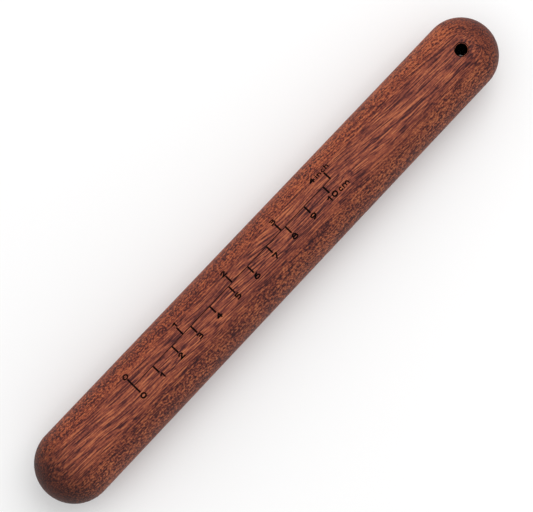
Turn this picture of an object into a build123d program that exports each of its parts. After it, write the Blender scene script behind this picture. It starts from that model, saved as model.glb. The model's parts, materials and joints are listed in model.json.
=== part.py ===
from build123d import *
import os
from math import atan2, cos, degrees, radians, sin, sqrt

# Round hardwood stick with domed ends, a burnt length scale and a cross hole.
# Frame: the stick lies along X, its zero end at -X and its hole end at +X.
# Z = 0 is the surface it lies on; +Y is the inch side of the scale.

# Turned stick
LENGTH = 237.0
ZERO_END_DIAMETER = 30.0
HOLE_END_DIAMETER = 28.4

# Cross hole for hanging, straight down through the axis
HOLE_DIAMETER = 4.5
HOLE_FROM_END = 14.0
HOLE_EDGE_BREAK = 0.35

# Length scale burnt along the grain
SCALE_ZERO_FROM_END = 52.0
SCALE_LINE_TURN = 9.0
CENTIMETRE_PITCH = 10.0
CENTIMETRE_COUNT = 10
INCH_PITCH = 26.0
INCH_COUNT = 4
SCALE_LINE_WIDTH = 0.36
TICK_WIDTH = 0.70
CENTIMETRE_TICK_LENGTH = 3.3
INCH_TICK_LENGTH = 3.6

# Numerals and unit letters
CENTIMETRE_NUMERAL_GAP = 0.50
INCH_NUMERAL_GAP = 0.20
NUMERAL_HEIGHT = 2.3
NUMERAL_WIDTH = 2.5
NUMERAL_SPACING = 0.8
LETTER_HEIGHT = 1.6
LETTER_WIDTH = 1.6
LETTER_SPACING = 0.4
UNIT_GAP = 0.7
NUMERAL_STROKE = 0.60
LETTER_STROKE = 0.48

# How far before its tick each row's last number and unit begin
CENTIMETRE_WORD_LEAD = 2.4
INCH_WORD_LEAD = 6.5

# Burnt marks: how deep the groove goes and how far the char lies below the wood
GROOVE_DEPTH = 0.35
CHAR_RECESS = 0.10

ZERO_END_RADIUS = ZERO_END_DIAMETER / 2
HOLE_END_RADIUS = HOLE_END_DIAMETER / 2
AXIS_HEIGHT = max(ZERO_END_RADIUS, HOLE_END_RADIUS)
ZERO_DOME_X = -LENGTH / 2 + ZERO_END_RADIUS
HOLE_DOME_X = LENGTH / 2 - HOLE_END_RADIUS
TAPER_SINE = (ZERO_END_RADIUS - HOLE_END_RADIUS) / (HOLE_DOME_X - ZERO_DOME_X)
HOLE_X = LENGTH / 2 - HOLE_FROM_END
SCALE_ZERO_X = -LENGTH / 2 + SCALE_ZERO_FROM_END

# Strokes of each sign in a box one wide and one high: two points draw a straight
# stroke, three an arc through the middle one, four an oval touching all of them.
SIGNS = {
    "0": [[(0.5, 1), (0, 0.5), (0.5, 0), (1, 0.5)]],
    "1": [[(0, 0.72), (0.5, 1)], [(0.5, 1), (0.5, 0)]],
    "2": [[(0.06, 0.72), (0.47, 1), (0.88, 0.72)], [(0.88, 0.72), (0, 0)], [(0, 0), (1, 0)]],
    "3": [[(0.1, 1), (0.6, 1)], [(0.6, 1), (0.83, 0.77), (0.6, 0.54)], [(0.6, 0.54), (0.3, 0.54)],
          [(0.6, 0.54), (0.87, 0.27), (0.6, 0)], [(0.6, 0), (0.05, 0)]],
    "4": [[(0.72, 1), (0, 0.32)], [(0, 0.32), (1, 0.32)], [(0.72, 1), (0.72, 0)]],
    "5": [[(0.85, 1), (0.12, 1)], [(0.12, 1), (0.12, 0.58)], [(0.12, 0.58), (0.58, 0.58)],
          [(0.58, 0.58), (0.87, 0.29), (0.58, 0)], [(0.58, 0), (0.05, 0)]],
    "6": [[(0.8, 1), (0.22, 0.75), (0, 0.3)], [(0.5, 0.6), (0, 0.3), (0.5, 0), (1, 0.3)]],
    "7": [[(0, 1), (0.95, 1)], [(0.95, 1), (0.35, 0)]],
    "8": [[(0.5, 1), (0.12, 0.77), (0.5, 0.54), (0.88, 0.77)],
          [(0.5, 0.54), (0, 0.27), (0.5, 0), (1, 0.27)]],
    "9": [[(1, 0.7), (0.78, 0.25), (0.2, 0)], [(0.5, 1), (0, 0.7), (0.5, 0.4), (1, 0.7)]],
    "c": [[(0.9, 0.85), (0, 0.5), (0.9, 0.15)]],
    "m": [[(0, 1), (0, 0)], [(0, 0.45), (0.55, 1), (1.1, 0.45)], [(1.1, 0.45), (1.1, 0)],
          [(1.1, 0.45), (1.65, 1), (2.2, 0.45)], [(2.2, 0.45), (2.2, 0)]],
    "i": [[(0, 0.9), (0, 0)], [(0, 1.55), (0, 1.6)]],
    "n": [[(0, 1), (0, 0)], [(0, 0.5), (0.5, 1), (1, 0.5)], [(1, 0.5), (1, 0)]],
    "h": [[(0, 1.6), (0, 0)], [(0, 0.5), (0.5, 1), (1, 0.5)], [(1, 0.5), (1, 0)]],
}
# Signs that take up more or less than one box width
SIGN_REACH = {"1": 0.5, "c": 0.9, "m": 2.2, "i": 0.0}


def stick_blank(inset=0.0):
    """The turned stick drawn in by an even amount all over: two domes and the taper between."""
    zero_radius = ZERO_END_RADIUS - inset
    hole_radius = HOLE_END_RADIUS - inset
    taper_turn = degrees(atan2(TAPER_SINE, sqrt(1 - TAPER_SINE ** 2)))

    def rim(centre_x, radius, turn):
        return (centre_x + radius * cos(radians(turn)), 0, radius * sin(radians(turn)))

    zero_apex = rim(ZERO_DOME_X, zero_radius, 180)
    zero_tangent = rim(ZERO_DOME_X, zero_radius, 90 - taper_turn)
    hole_tangent = rim(HOLE_DOME_X, hole_radius, 90 - taper_turn)
    hole_apex = rim(HOLE_DOME_X, hole_radius, 0)
    zero_dome = ThreePointArc(
        zero_apex, rim(ZERO_DOME_X, zero_radius, (270 - taper_turn) / 2), zero_tangent
    )
    hole_dome = ThreePointArc(
        hole_tangent, rim(HOLE_DOME_X, hole_radius, (90 - taper_turn) / 2), hole_apex
    )
    outline = Wire([zero_dome, Line(zero_tangent, hole_tangent), hole_dome, Line(hole_apex, zero_apex)])
    blank = revolve(Face(outline), Axis.X, 360)
    return Pos(0, 0, AXIS_HEIGHT) * blank


def radius_at(x):
    """Radius of the tapered stick at a place along its length."""
    share = (x - ZERO_DOME_X) / (HOLE_DOME_X - ZERO_DOME_X)
    return ZERO_END_RADIUS + share * (HOLE_END_RADIUS - ZERO_END_RADIUS)


def surface_plane(x, turn):
    """Plane on the stick facing outward; turn is the angle from the top towards the inch side."""
    out = Vector(0, sin(radians(turn)), cos(radians(turn)))
    middle = Vector(x, 0, AXIS_HEIGHT) + out * (radius_at(x) - 2 * GROOVE_DEPTH)
    return Plane(origin=middle, x_dir=(1, 0, 0), z_dir=out)


def burning_tool(sketch, x, turn):
    """A flat outline stood on the stick and carried through its surface."""
    reach = 2 * GROOVE_DEPTH + NUMERAL_HEIGHT
    return extrude(surface_plane(x, turn) * sketch, reach)


def oval_ring(top, left, bottom, right, stroke):
    """An oval stroke through the four places where the oval is highest, widest and lowest."""
    half_width = (right[0] - left[0]) / 2
    half_height = (top[1] - bottom[1]) / 2
    ring = Ellipse(half_width + stroke / 2, half_height + stroke / 2)
    ring -= Ellipse(half_width - stroke / 2, half_height - stroke / 2)
    return Pos(top[0], left[1]) * ring


def sign_outline(sign, width, height, stroke):
    """One numeral or letter as a flat outline, its lower left corner at the origin."""
    outline = Sketch()
    for line in SIGNS[sign]:
        points = [
            (stroke / 2 + u * (width - stroke), stroke / 2 + v * (height - stroke)) for u, v in line
        ]
        if len(points) == 4:
            outline += oval_ring(*points, stroke)
        elif len(points) == 3:
            outline += SlotArc(ThreePointArc(*points), stroke)
        else:
            outline += SlotArc(Line(*points), stroke)
    return outline


def sign_width(sign, width, stroke):
    """Width one sign takes up, its stroke thickness included."""
    return SIGN_REACH.get(sign, 1.0) * (width - stroke) + stroke


def number_width(number):
    """Width of a number's row of numerals."""
    widths = [sign_width(sign, NUMERAL_WIDTH, NUMERAL_STROKE) for sign in str(number)]
    return sum(widths) + NUMERAL_SPACING * (len(widths) - 1)


def word_outline(word, width, height, stroke, spacing):
    """Signs set side by side from the origin, standing on the X axis."""
    outline = Sketch()
    start = 0.0
    for sign in word:
        outline += Pos(start, 0) * sign_outline(sign, width, height, stroke)
        start += sign_width(sign, width, stroke) + spacing
    return outline


def arc_turn(distance, x):
    """Angle round the stick that a distance measured on its surface takes up."""
    return degrees(distance / radius_at(x))


def row_tool(outline, x_start, side, row_distance):
    """Signs burnt with their middle line at a given distance round from the scale line."""
    turn = SCALE_LINE_TURN + side * arc_turn(row_distance, x_start)
    return burning_tool(Pos(0, -NUMERAL_HEIGHT / 2) * outline, x_start, turn)


def number_tool(number, x_start, side, row_distance):
    """A number beginning at a place along the stick, in the row beyond the ticks."""
    outline = word_outline(
        str(number), NUMERAL_WIDTH, NUMERAL_HEIGHT, NUMERAL_STROKE, NUMERAL_SPACING
    )
    return row_tool(outline, x_start, side, row_distance)


def unit_tool(word, x_start, side, row_distance):
    """A unit's letters, standing on the same foot line as the numbers of their row."""
    outline = word_outline(word, LETTER_WIDTH, LETTER_HEIGHT, LETTER_STROKE, LETTER_SPACING)
    return row_tool(outline, x_start, side, row_distance)


def tick_tool(x, side, length):
    """One tick, from the edge of the scale line out to its full length."""
    middle = (SCALE_LINE_WIDTH / 2 + length) / 2
    bar = Pos(0, side * middle) * Rectangle(TICK_WIDTH, length - SCALE_LINE_WIDTH / 2)
    return burning_tool(bar, x, SCALE_LINE_TURN)


def scale_line_tool(length):
    """The long line, from the middle of the zero tick to past the last inch tick."""
    bar = Rectangle(length, SCALE_LINE_WIDTH, align=(Align.MIN, Align.CENTER))
    return burning_tool(bar, SCALE_ZERO_X - TICK_WIDTH / 2, SCALE_LINE_TURN)


def mouth_countersink():
    """Cone that breaks the hole's upper edge, placed from the middle of the hole."""
    hole_radius = HOLE_DIAMETER / 2
    crown = radius_at(HOLE_X)
    side_drop = crown - sqrt(crown ** 2 - hole_radius ** 2)
    depth = HOLE_EDGE_BREAK + side_drop
    cone = Cone(hole_radius, hole_radius + 2 * depth, 2 * depth)
    return Pos(0, 0, crown) * cone


# Cutting tools for every mark, each under the name of the node it leaves
tools = {}
line_length = max(CENTIMETRE_COUNT * CENTIMETRE_PITCH, INCH_COUNT * INCH_PITCH) + TICK_WIDTH
tools["scale_line"] = [scale_line_tool(line_length)]
for unit, letters, side, count, pitch, word_lead, tick_length, gap in (
    ("centimetre", "cm", -1, CENTIMETRE_COUNT, CENTIMETRE_PITCH,
     CENTIMETRE_WORD_LEAD, CENTIMETRE_TICK_LENGTH, CENTIMETRE_NUMERAL_GAP),
    ("inch", "inch", 1, INCH_COUNT, INCH_PITCH,
     INCH_WORD_LEAD, INCH_TICK_LENGTH, INCH_NUMERAL_GAP),
):
    tick_places = [SCALE_ZERO_X + number * pitch for number in range(count + 1)]
    tools[f"{unit}_ticks"] = [tick_tool(tick_x, side, tick_length) for tick_x in tick_places]
    row = tick_length + gap + NUMERAL_HEIGHT / 2
    for number, tick_x in enumerate(tick_places):
        number_x = tick_x - (word_lead if number == count else number_width(number) / 2)
        tools[f"{unit}_numeral_{number}"] = [number_tool(number, number_x, side, row)]
    unit_x = number_x + number_width(count) + UNIT_GAP
    tools[f"{unit}_unit"] = [unit_tool(letters, unit_x, side, row)]

# The stick: turned blank, cross hole lightly countersunk at both mouths, then the grooves
outer = stick_blank()
groove_floor = stick_blank(GROOVE_DEPTH)
char_top = stick_blank(CHAR_RECESS)
body = outer - Pos(HOLE_X, 0, AXIS_HEIGHT) * Cylinder(HOLE_DIAMETER / 2, 3 * AXIS_HEIGHT)
for face_turn in (0, 180):
    body -= Pos(HOLE_X, 0, AXIS_HEIGHT) * Rot(face_turn, 0, 0) * mouth_countersink()

nodes = {}
for name, tool_list in tools.items():
    tool = Part() + tool_list
    body = body - (tool - groove_floor)
    nodes[name] = (tool & char_top) - groove_floor
nodes["stick_body"] = body

os.makedirs("parts", exist_ok=True)
for name, shape in nodes.items():
    solids = shape.solids()
    whole = solids[0] if len(solids) == 1 else Compound(solids)
    whole.label = name
    export_step(whole, f"parts/{name}.step")
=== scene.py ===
import json
from functools import partial
from math import cos, pi, radians, sin

import bmesh
import bpy
from mathutils import Matrix, Vector


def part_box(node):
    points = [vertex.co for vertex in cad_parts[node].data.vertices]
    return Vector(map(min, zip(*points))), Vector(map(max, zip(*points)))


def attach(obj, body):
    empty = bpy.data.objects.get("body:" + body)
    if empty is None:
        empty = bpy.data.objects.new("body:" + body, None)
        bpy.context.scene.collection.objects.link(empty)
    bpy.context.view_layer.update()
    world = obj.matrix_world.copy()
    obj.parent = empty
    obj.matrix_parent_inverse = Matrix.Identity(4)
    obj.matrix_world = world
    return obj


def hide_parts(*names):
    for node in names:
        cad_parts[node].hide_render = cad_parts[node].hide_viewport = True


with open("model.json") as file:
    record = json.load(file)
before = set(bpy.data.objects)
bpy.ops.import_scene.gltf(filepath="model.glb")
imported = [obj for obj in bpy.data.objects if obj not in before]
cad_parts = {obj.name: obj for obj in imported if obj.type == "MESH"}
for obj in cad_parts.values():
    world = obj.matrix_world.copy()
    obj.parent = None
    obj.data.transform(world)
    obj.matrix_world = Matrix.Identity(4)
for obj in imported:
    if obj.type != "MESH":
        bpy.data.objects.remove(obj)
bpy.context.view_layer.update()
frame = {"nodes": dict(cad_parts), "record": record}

# A round hardwood ring sizer stick lying on a pale table: two domed ends, a burnt
# scale of centimetres and inches along the top, and a cross hole to hang it by.

MM = 0.001

# Sizes read back from the frame, in metres
stick_low, stick_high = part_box("stick_body")
ZERO_END_RADIUS = (stick_high[2] - stick_low[2]) / 2
AXIS_HEIGHT = stick_low[2] + ZERO_END_RADIUS
HANG_HOLE = frame["record"]["mounts"][0]
HOLE_X = HANG_HOLE["pos_m"][0]
HOLE_RADIUS = HANG_HOLE["dims"]["r_mm"] * MM

# The hole end is turned a little thinner than the zero end.
HOLE_END_RADIUS = 14.2 * MM
ZERO_DOME_X = stick_low[0] + ZERO_END_RADIUS
HOLE_DOME_X = stick_high[0] - HOLE_END_RADIUS

# The hole's sharp edges are broken by this much at both mouths.
MOUTH_ROUNDING = 0.55 * MM

# Fine enough that no corner shows in the outline
STICK_SIDES = 224
DOME_RINGS = 96
RUN_CUTS = 110
HOLE_SIDES = 96

# A mark's top lies 0.10 mm under the wood and its floor 0.35 mm under: this tells them apart.
TOP_OR_FLOOR = 0.2 * MM
# A groove's cutter reaches 6 percent of the radius out, well clear of the wood.
CUTTER_REACH = 1.06

NO_SHIFT = NO_TURN = (0, 0, 0)

MARKS = sorted(name for name in frame["nodes"] if name != "stick_body")


def linear(hex_colour):
    """An sRGB colour such as 874735 as linear red, green, blue and alpha."""
    parts = [int(hex_colour[i:i + 2], 16) / 255 for i in (0, 2, 4)]
    return [p / 12.92 if p <= 0.04045 else ((p + 0.055) / 1.055) ** 2.4 for p in parts] + [1.0]


def node(tree, kind, *values, named=None, stops=(), **settings):
    """Adds a shader node and gives back its first live output. The values fill its live
    inputs in order and the named ones by name: each is a plain value, or the output that
    feeds it. Stops are a colour ramp's pairs of place and colour, or place and grey.

    In order, a Mapping's values are place, shift, turn and scale, a noise's are place,
    scale, detail and roughness, and a map range's are its value, the two ends it comes
    from and the two it goes to. The scale of a noise stays 1, as its Mapping sets the size."""
    made = tree.nodes.new("ShaderNode" + kind)
    for setting, value in settings.items():
        setattr(made, setting, value)
    live = [socket for socket in made.inputs if socket.enabled]
    by_name = [(made.inputs[name], value) for name, value in (named or {}).items()]
    for socket, value in [*zip(live, values), *by_name]:
        if isinstance(value, bpy.types.NodeSocket):
            tree.links.new(value, socket)
        else:
            socket.default_value = value
    if stops:
        points = made.color_ramp.elements
        while len(points) < len(stops):
            points.new(0.5)
        for point, (place, colour) in zip(points, stops):
            point.position = place
            point.color = linear(colour) if isinstance(colour, str) else (colour,) * 3 + (1.0,)
    return next((socket for socket in made.outputs if socket.enabled), None)


def new_material(name):
    """An empty material, and a way to add nodes to it."""
    made = bpy.data.materials.new(name)
    made.use_nodes = True
    made.node_tree.nodes.clear()
    return made, partial(node, made.node_tree)


def place_in_mm(add):
    """Object coordinates in millimetres, measured from the stick's axis."""
    place = add("TexCoord").node.outputs["Object"]
    return add("Mapping", place, (0, 0, -AXIS_HEIGHT / MM), NO_TURN, (1 / MM,) * 3)


def per_mm(along, across):
    """Mapping scale for a pattern of one length along the grain and one width across it,
    both in millimetres."""
    return (1 / along, 1 / across, 1 / across)


def oiled_sapele():
    """Sapele, turned, sanded and wiped with oil: reddish brown, with fine dark lines along
    the grain on top, short open pores on both flanks, a darker figure on the centimetre
    flank and dark end grain. Painted shade darkens part of the centimetre flank and most of
    the zero end's dome, and painted light brightens the inch flank towards the hole end."""
    made, add = new_material("oiled_sapele")
    place = place_in_mm(add)
    side = add("SeparateXYZ", place).node.outputs

    # The grain runs out of the stick by about 4 degrees and wanders by a millimetre or so
    # over 40 mm.
    grain_slope = radians(4.3)
    full_sway = 4.5
    wander = add("Mapping", place, (3.1, 0.4, 7.3), NO_TURN, per_mm(38, 13))
    wander = add("TexNoise", wander, 1.0, 1.0, 0.5).node.outputs["Color"]
    sway = add("VectorMath", wander, (0.5, 0.5, 0.5), operation="SUBTRACT")
    sway = add("VectorMath", sway, (0.0, full_sway, full_sway), operation="MULTIPLY")
    slanted = add("Mapping", place, NO_SHIFT, (0, 0, grain_slope))
    grain = add("VectorMath", slanted, sway, operation="ADD")

    # Growth layers round the tree's heart, 62 mm off, low on the inch side. They graze the
    # stick between its top and its centimetre flank, where they open into arches, and cut
    # the inch flank steeply. Along the trunk they hardly draw in.
    heart_y, heart_z = 44, -44
    draw_in = 0.035
    layer_thickness = 1.7
    from_heart = add("Mapping", grain, (0, -heart_y, -heart_z), NO_TURN, (draw_in, 1, 1))
    from_heart = add("VectorMath", from_heart, operation="LENGTH")
    uneven = add("Mapping", place, (9.7, 2.2, 1.3), NO_TURN, per_mm(17, 5))
    uneven = add("TexNoise", uneven, 1.0, 2.0, 0.55)
    layers = add("Math", uneven, 4.0, from_heart, operation="MULTIPLY_ADD")
    layers = add("Math", layers, layer_thickness, operation="DIVIDE")
    late_wood = add("ValToRGB", add("Math", layers, operation="FRACT"), stops=[
        (0.0, 0.0), (0.72, 0.0), (0.82, 1.0), (0.86, 1.0), (0.96, 0.0),
    ])

    # The dark late wood shows only in long patches.
    patches = add("Mapping", grain, (1.2, 8.8, 0.2), NO_TURN, per_mm(45, 4))
    patches = add("TexNoise", patches, 1.0, 1.0, 0.5)
    patches = add("MapRange", patches, 0.40, 0.60, 0.0, 1.0, interpolation_type="SMOOTHSTEP")
    late_wood = add("Math", late_wood, patches, operation="MULTIPLY")

    # Fibres about 17 mm long and 0.4 mm wide with shorter, finer ones between, the crumbs
    # of cut fibres, and broad bands of colour. Real fibres are too fine to show, so these
    # are drawn coarser. The pairs are lengths along and across the grain.
    fibres, fine, crumbs, bands = (
        add("TexNoise", add("Mapping", where, shift, NO_TURN, per_mm(*size)), 1.0, detail, rough)
        for where, shift, size, detail, rough in (
            (grain, (1, 5, 2), (17.0, 0.44), 1.0, 0.6),
            (grain, (4, 1, 8), (7.0, 0.36), 1.0, 0.6),
            (place, (7, 3, 4), (0.85, 0.70), 1.0, 0.6),
            (place, (6, 3, 5), (55, 6), 2.0, 0.5),
        )
    )

    # Open pores: dashes about 3 mm long and 0.4 mm wide on top, and dots 1 mm long and
    # 0.5 mm wide on the flanks. Real ones are finer, and these are as coarse as they need
    # to be to show.
    off_top = add("Math", side["Y"], operation="ABSOLUTE")
    flank = add("MapRange", off_top, 5.0, 11.0, 0.0, 1.0, interpolation_type="SMOOTHSTEP")
    dashes = add("TexVoronoi", add("Mapping", grain, NO_SHIFT, NO_TURN, per_mm(7.5, 0.95)), 1.0)
    dashes = add("MapRange", dashes, 0.28, 0.10, 0.0, 0.9, interpolation_type="SMOOTHSTEP")
    dots = add("TexVoronoi", add("Mapping", grain, (5, 2, 3), NO_TURN, per_mm(1.6, 0.9)), 1.0)
    dots = add("MapRange", dots, 0.42, 0.18, 0.0, 0.95, interpolation_type="SMOOTHSTEP")
    pores = add("Mix", flank, dashes, dots, data_type="FLOAT")

    # The pores are darker on the flanks, and darkest in one row along the inch flank.
    row_out = 11.3
    off_row = add("Math", side["Y"], row_out, operation="SUBTRACT")
    off_row = add("Math", off_row, operation="ABSOLUTE")
    row = add("MapRange", off_row, 1.5, 0.5, 0.0, 1.0, interpolation_type="SMOOTHSTEP")
    depth = add("Math", flank, 0.38, 0.22, operation="MULTIPLY_ADD")
    depth = add("Math", row, 0.28, depth, operation="MULTIPLY_ADD")

    # The lines fade towards the flanks, where the cut fibres look crumbled instead.
    fibre_share = add("Math", flank, -0.70, 1.30, operation="MULTIPLY_ADD")
    crumb_share = add("Math", flank, 1.75, 0.50, operation="MULTIPLY_ADD")
    tone = 0.5
    shares = ((fibres, fibre_share), (fine, 1.40), (crumbs, crumb_share), (bands, 0.30))
    for pattern, share in shares:
        from_middle = add("Math", pattern, 0.5, operation="SUBTRACT")
        tone = add("Math", from_middle, share, tone, operation="MULTIPLY_ADD")
    tone = add("Math", late_wood, -0.28, tone, operation="MULTIPLY_ADD")

    # Painted light: the inch flank, the side the light falls on, grows brighter towards the hole
    # end, nearer the soft box.
    inch_flank = add("MapRange", side["Y"], 4.0, 11.0, 0.0, 1.0, interpolation_type="SMOOTHSTEP")
    painted_light_to_hole_end = add("MapRange", side["X"], -85.0, 90.0, 0.0, 0.12, interpolation_type="LINEAR")
    tone = add("Math", inch_flank, painted_light_to_hole_end, tone, operation="MULTIPLY_ADD")
    wood = add("ValToRGB", tone, stops=[
        (0.12, "35171a"), (0.34, "5a2a25"), (0.50, "7b3e30"), (0.66, "924c35"), (0.88, "b06845"),
    ])
    pore_share = add("Math", pores, depth, operation="MULTIPLY")
    wood = add("Mix", pore_share, wood, linear("2c1416"), data_type="RGBA")

    # The centimetre flank is browner, and darker partly by painted shade, as that side is turned
    # from the light; the inch flank is more orange. End grain drinks more oil, so both domes turn
    # darker towards their tips; at the zero end most of that darkening is painted shade, where
    # the dome turns away from the light.
    for axis, start, end, tint_and_painted_shade in (
        # Partly painted shade: the centimetre flank made browner and darker.
        ("Y", -3.0, -10.0, "e9e4df"),
        ("Y", 4.0, 11.0, "ffe9d8"),
        # Mostly painted shade: the zero end's dome darkened towards its tip.
        ("X", -95.0, -116.0, "8a7d7d"),
        ("X", 101.0, 119.0, "b1907b"),
    ):
        share = add("MapRange", side[axis], start, end, 0.0, 1.0, interpolation_type="SMOOTHSTEP")
        wood = add("Mix", share, wood, linear(tint_and_painted_shade), data_type="RGBA", blend_type="MULTIPLY")

    # Sanding leaves the fibres standing a little, and the pores stay open.
    relief = add("Math", fibres, 0.6, operation="MULTIPLY")
    relief = add("Math", pores, -0.9, relief, operation="MULTIPLY_ADD")
    bump = add("Bump", named={"Strength": 0.5, "Distance": 0.08 * MM, "Height": relief})
    shader = add("BsdfPrincipled", named={
        "Base Color": wood, "Normal": bump,
        "Roughness": 0.58, "IOR": 1.45, "Specular IOR Level": 0.18,
    })
    add("OutputMaterial", shader)
    return made


def burnt_wood(name, patch, shift, stops, roughness, specular, relief):
    """Burnt wood, uneven in patches of a size given along and across the grain. The size
    and the depth of its relief are in millimetres."""
    made, add = new_material(name)
    heat = add("Mapping", place_in_mm(add), shift, NO_TURN, per_mm(*patch))
    heat = add("TexNoise", heat, 1.0, 2.0, 0.5)
    colour = add("ValToRGB", heat, stops=stops)
    bump = add("Bump", named={"Strength": 0.4, "Distance": relief * MM, "Height": heat})
    shader = add("BsdfPrincipled", named={
        "Base Color": colour, "Normal": bump,
        "Roughness": roughness, "Specular IOR Level": specular,
    })
    add("OutputMaterial", shader)
    return made


def give(piece, material):
    """Puts one material in every slot of a piece."""
    if not piece.material_slots:
        piece.data.materials.append(material)
    for slot in piece.material_slots:
        slot.material = material


def nothing_selected():
    bpy.ops.object.select_all(action="DESELECT")


def only(piece):
    """Selects one piece alone and makes it the active one."""
    nothing_selected()
    piece.select_set(True)
    bpy.context.view_layer.objects.active = piece


def pick(piece, wanted, kind="faces"):
    """In edit mode, selects the faces or edges for which the test is true."""
    shape = bmesh.from_edit_mesh(piece.data)
    bpy.ops.mesh.select_mode(type="FACE" if kind == "faces" else "EDGE")
    for part in (*shape.verts, *shape.edges, *shape.faces):
        part.select = False
    for part in getattr(shape, kind):
        if wanted(part):
            part.select_set(True)
    bmesh.update_edit_mesh(piece.data)


def turned_blank():
    """The stick off the lathe: one ball cut in two, its halves moved apart and the long
    tapering run drawn between them."""
    nothing_selected()
    bpy.ops.mesh.primitive_uv_sphere_add(
        segments=STICK_SIDES, ring_count=DOME_RINGS, radius=ZERO_END_RADIUS,
        location=(ZERO_DOME_X, 0, AXIS_HEIGHT), rotation=(0, pi / 2, 0),
    )
    blank = bpy.context.object
    blank.name = "turned_stick"
    bpy.ops.object.transform_apply(location=True, rotation=True, scale=True)
    bpy.ops.object.mode_set(mode="EDIT")
    pick(blank, lambda face: face.calc_center_median().x > ZERO_DOME_X)
    bpy.ops.mesh.split()
    bpy.ops.transform.translate(value=(HOLE_DOME_X - ZERO_DOME_X, 0, 0))
    thinner = HOLE_END_RADIUS / ZERO_END_RADIUS
    bpy.ops.transform.resize(value=(thinner,) * 3, center_override=(HOLE_DOME_X, 0, AXIS_HEIGHT))
    pick(blank, lambda edge: len(edge.link_faces) == 1, "edges")
    bpy.ops.mesh.bridge_edge_loops(number_cuts=RUN_CUTS)
    bpy.ops.object.mode_set(mode="OBJECT")
    return blank


def carve(piece, cutter):
    """Cuts one shape out of the piece and throws the cutter away."""
    only(piece)
    cut = piece.modifiers.new("carve", "BOOLEAN")
    cut.operation = "DIFFERENCE"
    cut.solver = "MANIFOLD"
    cut.material_mode = "TRANSFER"
    cut.object = cutter
    bpy.ops.object.modifier_apply(modifier=cut.name)
    bpy.data.objects.remove(cutter)


def radius_at(x):
    """Radius of the tapered stick at a place along it."""
    share = (x - ZERO_DOME_X) / (HOLE_DOME_X - ZERO_DOME_X)
    return ZERO_END_RADIUS + share * (HOLE_END_RADIUS - ZERO_END_RADIUS)


def hang_hole_drill():
    """Drill for the hang hole, flared at both ends so that it leaves rounded mouths."""
    centre = (HOLE_X, 0, AXIS_HEIGHT)
    straight_run = 2 * (radius_at(HOLE_X) - MOUTH_ROUNDING)
    beyond_wood = 2 * MM
    nothing_selected()
    bpy.ops.mesh.primitive_cylinder_add(
        vertices=HOLE_SIDES, radius=HOLE_RADIUS, depth=straight_run, location=centre,
    )
    drill = bpy.context.object
    bpy.ops.object.transform_apply(location=True, rotation=True, scale=True)
    bpy.ops.object.mode_set(mode="EDIT")
    turns = [radians(a) for a in (0, 20, 40, 60, 80)]
    for way in (1, -1):
        pick(drill, lambda face: face.normal.z * way > 0.9)
        radius = HOLE_RADIUS
        for last, now in zip(turns, turns[1:]):
            rise = MOUTH_ROUNDING * (sin(now) - sin(last))
            wider = radius + MOUTH_ROUNDING * (cos(last) - cos(now))
            growth = wider / radius
            bpy.ops.mesh.extrude_region_move(TRANSFORM_OT_translate={"value": (0, 0, way * rise)})
            bpy.ops.transform.resize(value=(growth, growth, 1), center_override=centre)
            radius = wider
        bpy.ops.mesh.extrude_region_move(
            TRANSFORM_OT_translate={"value": (0, 0, way * beyond_wood)}
        )
    bpy.ops.object.mode_set(mode="OBJECT")
    return drill


def groove_cutter(name):
    """A burnt mark's own shape, carried up out of the wood, to cut its groove."""
    cutter = frame["nodes"][name].copy()
    cutter.data = cutter.data.copy()
    cutter.parent = None
    cutter.matrix_world = Matrix.Identity(4)
    bpy.context.scene.collection.objects.link(cutter)
    only(cutter)
    bpy.ops.object.mode_set(mode="EDIT")
    bpy.ops.mesh.select_all(action="SELECT")
    bpy.ops.mesh.remove_doubles(threshold=1e-6)

    def on_top(face):
        return all(
            Vector((0, v.co.y, v.co.z - AXIS_HEIGHT)).length > radius_at(v.co.x) - TOP_OR_FLOOR
            for v in face.verts
        )

    pick(cutter, on_top)
    bpy.ops.mesh.extrude_region_move(TRANSFORM_OT_translate={"value": (0, 0, 0)})
    bpy.ops.transform.resize(
        value=(1, CUTTER_REACH, CUTTER_REACH), center_override=(0, 0, AXIS_HEIGHT),
    )
    bpy.ops.mesh.select_all(action="SELECT")
    bpy.ops.mesh.normals_make_consistent(inside=False)
    bpy.ops.object.mode_set(mode="OBJECT")
    return cutter


sapele = oiled_sapele()
# Numerals and ticks are stamped black with hot irons: dead matt, hardly any brown left.
# The same near-black material is painted shade on the hang hole's wall.
char_and_hole_shade = burnt_wood(
    "charred_wood_and_hole_shade", patch=(0.9, 0.5), shift=NO_SHIFT,
    stops=[(0.3, "040303"), (0.6, "090606"), (0.8, "140c0b")],
    roughness=0.9, specular=0.03, relief=0.04,
)
# The long line gets one light pass of a hot wheel: brown, darker in places.
scorch = burnt_wood(
    "scorched_wood", patch=(7.0, 2.0), shift=(2, 0, 0),
    stops=[(0.3, "160909"), (0.5, "260f0e"), (0.7, "3c1c18")],
    roughness=0.75, specular=0.12, relief=0.03,
)

# The grooves are as dark as the numerals. The hole's wall gets the same near-black material
# as painted shade, for the dark inside of the hole.
stick = turned_blank()
give(stick, sapele)
drill = hang_hole_drill()
# Painted shade: the drill passes its near-black material on to the hole's wall.
give(drill, char_and_hole_shade)
carve(stick, drill)
for name in MARKS:
    cutter = groove_cutter(name)
    give(cutter, char_and_hole_shade)
    carve(stick, cutter)
only(stick)
bpy.ops.object.shade_smooth_by_angle(angle=radians(32))
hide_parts("stick_body")
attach(stick, "root")
for name in MARKS:
    give(frame["nodes"][name], scorch if name == "scale_line" else char_and_hole_shade)


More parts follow.
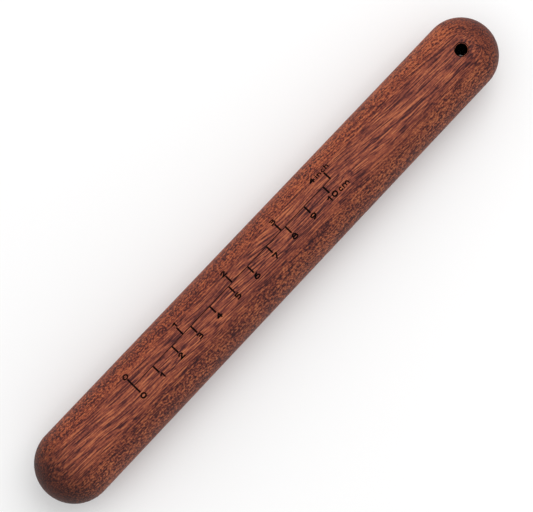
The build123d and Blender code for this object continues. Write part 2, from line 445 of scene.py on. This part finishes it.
def pale_table():
    """A large plain white table top under the stick."""
    nothing_selected()
    bpy.ops.mesh.primitive_plane_add(size=6.0, location=(0, 0, 0))
    table = bpy.context.object
    table.name = "pale_table"
    made, add = new_material("white_lacquered_board")
    shader = add("BsdfPrincipled", named={
        "Base Color": linear("f4f4f4"), "Roughness": 0.9, "Specular IOR Level": 0.1,
    })
    add("OutputMaterial", shader)
    give(table, made)


def soft_box(name, place, aim, size, power):
    """A square studio light that faces a point."""
    data = bpy.data.lights.new(name, "AREA")
    data.shape = "SQUARE"
    data.size = size
    data.energy = power
    light = bpy.data.objects.new(name, data)
    light.location = place
    light.rotation_euler = (Vector(aim) - Vector(place)).to_track_quat("-Z", "Y").to_euler()
    bpy.context.scene.collection.objects.link(light)


def studio():
    """Even light from a pale room, and one large soft box high over the hole end."""
    world = bpy.data.worlds.new("pale_room")
    world.use_nodes = True
    walls = world.node_tree.nodes["Background"].inputs
    walls["Color"].default_value = (1, 1, 1, 1)
    walls["Strength"].default_value = 0.86
    bpy.context.scene.world = world
    soft_box("key_box", place=(0.80, 0.12, 1.1), aim=(0, 0, 0.01), size=1.2, power=8)
    bpy.context.scene.view_settings.view_transform = "Standard"


def camera():
    """Looks down on the stick, leaning 5.4 degrees towards its centimetre side, and is
    turned about its own axis so that the stick runs from lower left to upper right."""
    lean = radians(5.4)
    turn = radians(46.56)
    distance = 0.85
    off_middle_along, off_middle_across = 1.07 * MM, 1.18 * MM
    along = Vector((1, 0, 0))
    across = Vector((0, cos(lean), sin(lean)))
    back = along.cross(across)
    right = cos(turn) * along - sin(turn) * across
    up = sin(turn) * along + cos(turn) * across
    aim = Vector((0, 0, AXIS_HEIGHT)) + along * off_middle_along + across * off_middle_across
    data = bpy.data.cameras.new("camera")
    data.sensor_width = 36.0
    data.lens = 155.0
    data.clip_start = 0.05
    made = bpy.data.objects.new("camera", data)
    facing = Matrix((right, up, back)).transposed().to_4x4()
    made.matrix_world = Matrix.Translation(aim + back * distance) @ facing
    bpy.context.scene.collection.objects.link(made)
    bpy.context.scene.camera = made


pale_table()
studio()
camera()
